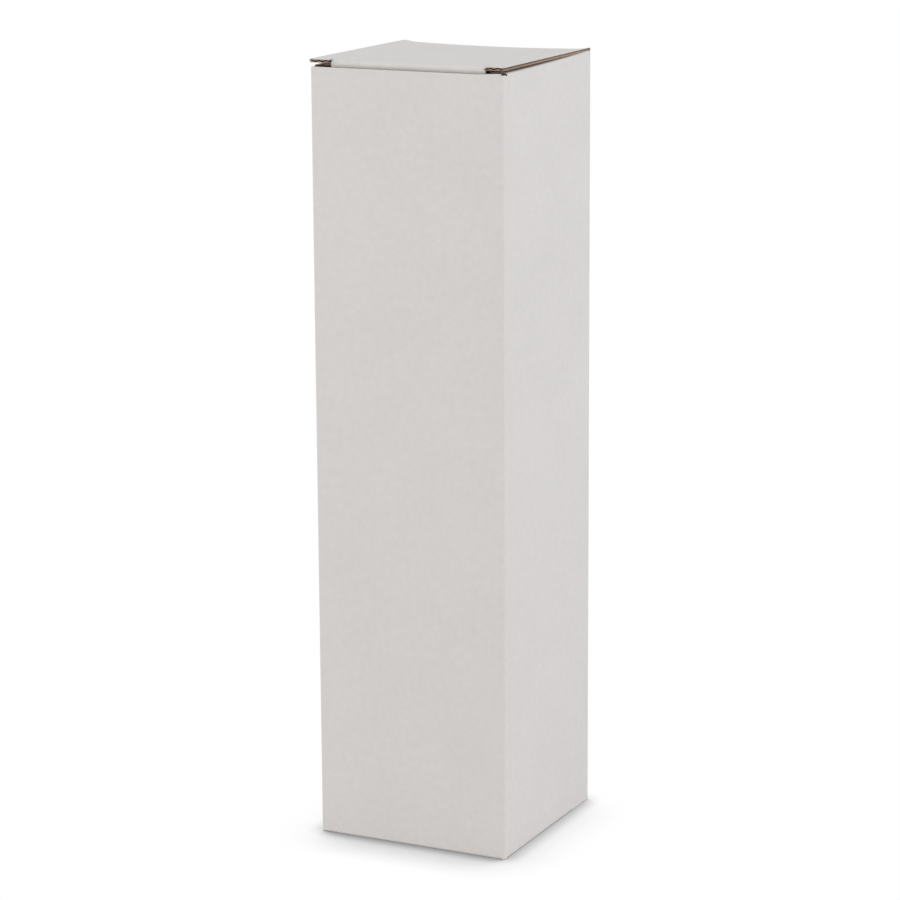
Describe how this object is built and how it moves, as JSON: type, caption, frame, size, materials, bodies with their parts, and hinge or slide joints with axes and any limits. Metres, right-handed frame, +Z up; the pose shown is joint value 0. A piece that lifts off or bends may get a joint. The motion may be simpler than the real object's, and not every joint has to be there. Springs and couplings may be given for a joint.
{
  "type": "bottle gift box",
  "caption": "Tall square white corrugated carton for a single bottle, with a hinged tuck-in lid, dust flaps and an interlocking snap-lock bottom.",
  "frame": {"origin": "middle of the footprint, on the surface that the box stands on", "axes": "+Z up along the box's height, the front wall with the lid's fold faces -Y, +X to the right seen from the front"},
  "size_m": [0.0906, 0.09, 0.3433],
  "materials": {
    "white_board": "uncoated white-faced corrugated board, matt and faintly mottled",
    "brown_board": "plain brown kraft inner liner and fluting, matt"
  },
  "bodies": {
    "box": {"front_panel": "white_board", "back_panel": "white_board", "left_panel": "white_board", "right_panel": "white_board", "glue_flap": "brown_board", "front_bottom_flap": "white_board", "left_bottom_flap": "white_board", "right_bottom_flap": "white_board", "back_bottom_flap": "white_board"},
    "lid": {"lid_panel": "white_board"},
    "tuck": {"tuck_flap": "white_board"},
    "left_dust": {"left_dust_flap": "white_board"},
    "right_dust": {"right_dust_flap": "white_board"}
  },
  "joints": [
    {"name": "lid_hinge", "type": "hinge", "parent": "box", "child": "lid", "pos_m": [0, 0.045, 0.3433], "axis": [-1, 0, 0], "range_deg": [0, 175]},
    {"name": "tuck_fold", "type": "hinge", "parent": "lid", "child": "tuck", "pos_m": [0, -0.04269, 0.34251], "axis": [-1, 0, 0], "range_deg": [0, 35]},
    {"name": "left_dust_hinge", "type": "hinge", "parent": "box", "child": "left_dust", "pos_m": [-0.045, 0, 0.3415], "axis": [0, -1, 0], "range_deg": [0, 100]},
    {"name": "right_dust_hinge", "type": "hinge", "parent": "box", "child": "right_dust", "pos_m": [0.045, 0, 0.3415], "axis": [0, 1, 0], "range_deg": [0, 100]}
  ],
  "couplings": [
    {"joint": "tuck_fold", "follows": "lid_hinge", "ratio": 0.2},
    {"joint": "left_dust_hinge", "follows": "lid_hinge", "ratio": 0.57},
    {"joint": "right_dust_hinge", "follows": "lid_hinge", "ratio": 0.57}
  ]
}
